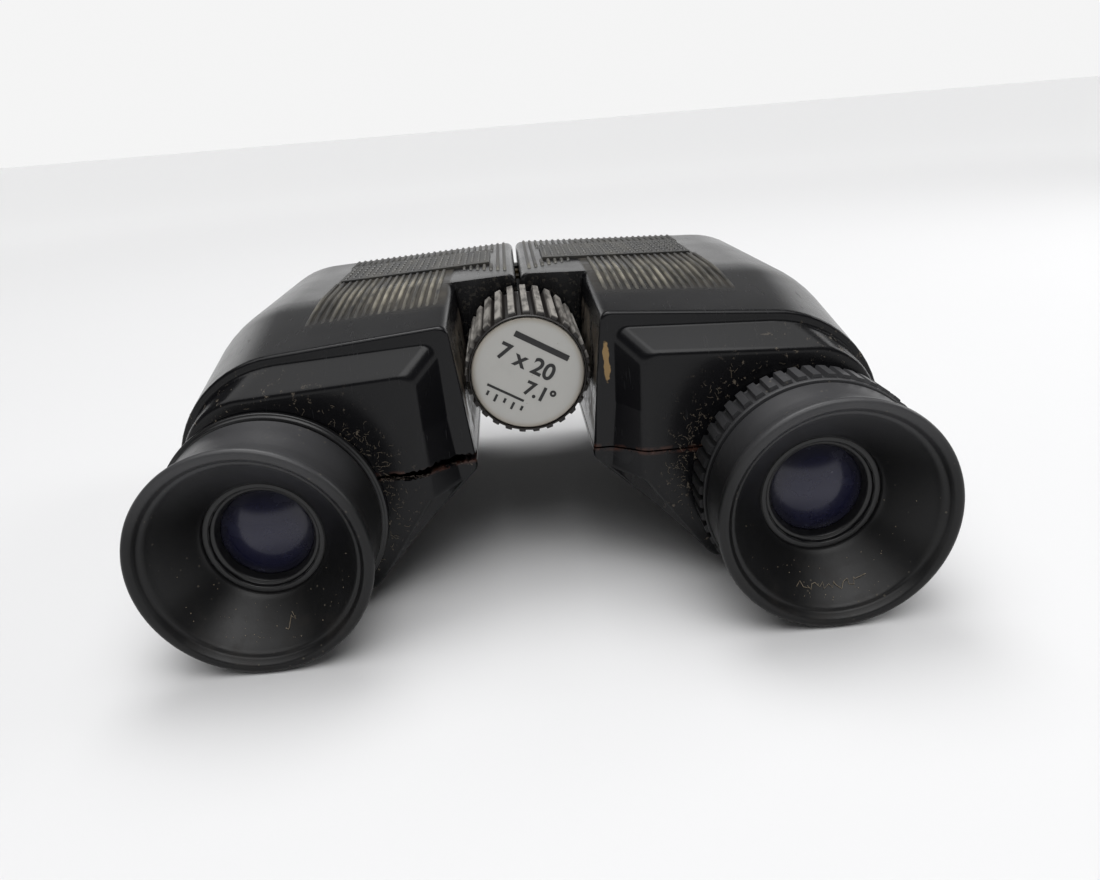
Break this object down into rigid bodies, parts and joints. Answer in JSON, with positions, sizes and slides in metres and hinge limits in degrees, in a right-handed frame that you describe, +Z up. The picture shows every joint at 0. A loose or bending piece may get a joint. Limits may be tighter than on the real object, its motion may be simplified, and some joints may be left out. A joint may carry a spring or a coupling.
{
  "type": "compact binoculars",
  "caption": "Compact folding binoculars with offset eyepieces, ribbed casings, a central focus knob in a rear pocket and a turning ring on one eyepiece.",
  "frame": {"origin": "under the middle of the bounding box, on the surface that the body stands on", "axes": "+Y from the eyepieces to the objectives along the optical axes, +X to the half with the dioptre ring, +Z up"},
  "size_m": [0.1018, 0.0864, 0.0403],
  "materials": {
    "cover_plastic": "glossy black moulding with a soft grey sheen",
    "cup_rubber": "matte black",
    "cast_alloy": "as cast",
    "black_anodised": "black anodised, satin",
    "silver_disc": "satin silver",
    "steel": "turned",
    "brass": "turned",
    "knob_plastic": "dark brown-black with worn ridges",
    "coated_glass": "polished, violet coating",
    "prism_glass": "polished"
  },
  "bodies": {
    "right_half": {"right_upper_cover": "cover_plastic", "right_lower_cover": "cover_plastic", "right_cover_screw_rear": "steel", "right_cover_screw_front": "steel", "right_chassis": "cast_alloy", "right_prism_rear": "prism_glass", "right_prism_rear_strap": "steel", "right_prism_front": "prism_glass", "right_prism_front_strap": "steel", "right_objective_trim": "cover_plastic", "hinge_tube": "steel", "spindle_bush": "brass", "hinge_front_cap": "cover_plastic"},
    "left_half": {"left_upper_cover": "cover_plastic", "left_lower_cover": "cover_plastic", "left_cover_screw_rear": "steel", "left_cover_screw_front": "steel", "left_chassis": "cast_alloy", "left_prism_rear": "prism_glass", "left_prism_rear_strap": "steel", "left_prism_front": "prism_glass", "left_prism_front_strap": "steel", "left_objective_trim": "cover_plastic", "left_ocular_barrel": "black_anodised", "left_ocular_retainer": "black_anodised", "left_eye_lens": "coated_glass", "left_lens_spacer": "black_anodised", "left_field_lens": "coated_glass", "left_eyepiece_collar": "black_anodised", "left_eyecup": "cup_rubber"},
    "right_objective": {"right_objective_cell": "black_anodised", "right_objective_flint": "coated_glass", "right_objective_crown": "coated_glass", "right_objective_retainer": "black_anodised", "right_focus_arm": "brass"},
    "left_objective": {"left_objective_cell": "black_anodised", "left_objective_flint": "coated_glass", "left_objective_crown": "coated_glass", "left_objective_retainer": "black_anodised", "left_focus_arm": "brass"},
    "knob": {"focus_knob": "knob_plastic", "knob_disc": "silver_disc", "knob_screw": "steel", "focus_spindle": "steel"},
    "focus_slider": {"focus_nut": "brass", "focus_collar": "brass", "focus_drive_pin": "steel"},
    "right_eyepiece": {"right_ocular_barrel": "black_anodised", "right_ocular_retainer": "black_anodised", "right_eye_lens": "coated_glass", "right_lens_spacer": "black_anodised", "right_field_lens": "coated_glass"},
    "dioptre": {"diopter_ring": "cup_rubber", "right_eyecup": "cup_rubber"}
  },
  "joints": [
    {"name": "fold", "type": "hinge", "parent": "right_half", "child": "left_half", "pos_m": [0, 0, 0.0302], "axis": [0, -1, 0], "range_deg": [-2.5, 38]},
    {"name": "knob_turn", "type": "hinge", "parent": "right_half", "child": "knob", "pos_m": [0, 0, 0.0302], "axis": [0, 1, 0], "range_deg": [-225, 225]},
    {"name": "collar_slide", "type": "slide", "parent": "right_half", "child": "focus_slider", "axis": [0, 1, 0], "range_m": [-0.0025, 0.0025]},
    {"name": "right_objective_slide", "type": "slide", "parent": "right_half", "child": "right_objective", "axis": [0, 1, 0], "range_m": [-0.0025, 0.0025]},
    {"name": "left_objective_slide", "type": "slide", "parent": "left_half", "child": "left_objective", "axis": [0, 1, 0], "range_m": [-0.0025, 0.0025]},
    {"name": "dioptre_slide", "type": "slide", "parent": "right_half", "child": "right_eyepiece", "axis": [0, -1, 0], "range_m": [-0.0008, 0.0016]},
    {"name": "dioptre_turn", "type": "hinge", "parent": "right_eyepiece", "child": "dioptre", "pos_m": [0.03575, 0, 0.0152], "axis": [0, -1, 0], "range_deg": [-60, 120]}
  ],
  "couplings": [
    {"joint": "collar_slide", "follows": "knob_turn", "m_per_rad": 0.000636},
    {"joint": "right_objective_slide", "follows": "knob_turn", "m_per_rad": 0.000636},
    {"joint": "left_objective_slide", "follows": "knob_turn", "m_per_rad": 0.000636},
    {"joint": "dioptre_slide", "follows": "dioptre_turn", "m_per_rad": 0.00076}
  ]
}
